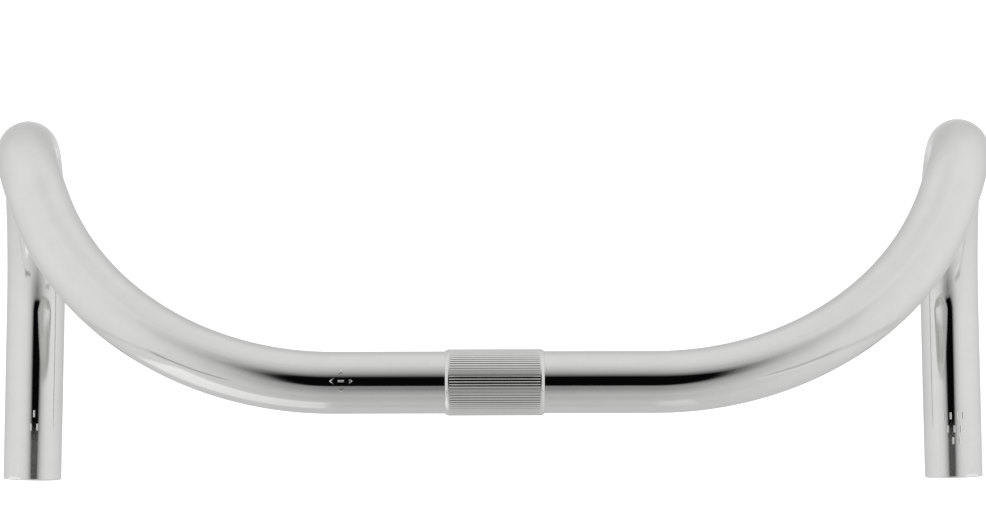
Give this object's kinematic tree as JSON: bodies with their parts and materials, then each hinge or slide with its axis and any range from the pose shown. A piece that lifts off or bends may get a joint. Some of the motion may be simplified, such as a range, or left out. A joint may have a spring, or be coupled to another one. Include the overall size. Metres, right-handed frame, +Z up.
{
  "type": "drop handlebar",
  "caption": "Drop handlebar for a track bicycle: bent steel tube with forward-reaching hooks, open rearward drops and a fluted clamp sleeve around the middle.",
  "frame": {"origin": "middle of the clamp sleeve, on the centreline of the tube", "axes": "+X to the rider's right along the clamp, +Y forward, +Z up with the drops level"},
  "size_m": [0.4036, 0.1459, 0.1767],
  "materials": {
    "tube_chrome": "polished chrome plate with fine polishing lines",
    "sleeve_chrome": "chrome plate over fine lengthwise flutes"
  },
  "bodies": {
    "root": {"bar_tube": "tube_chrome", "clamp_sleeve": "sleeve_chrome"}
  },
  "joints": []
}
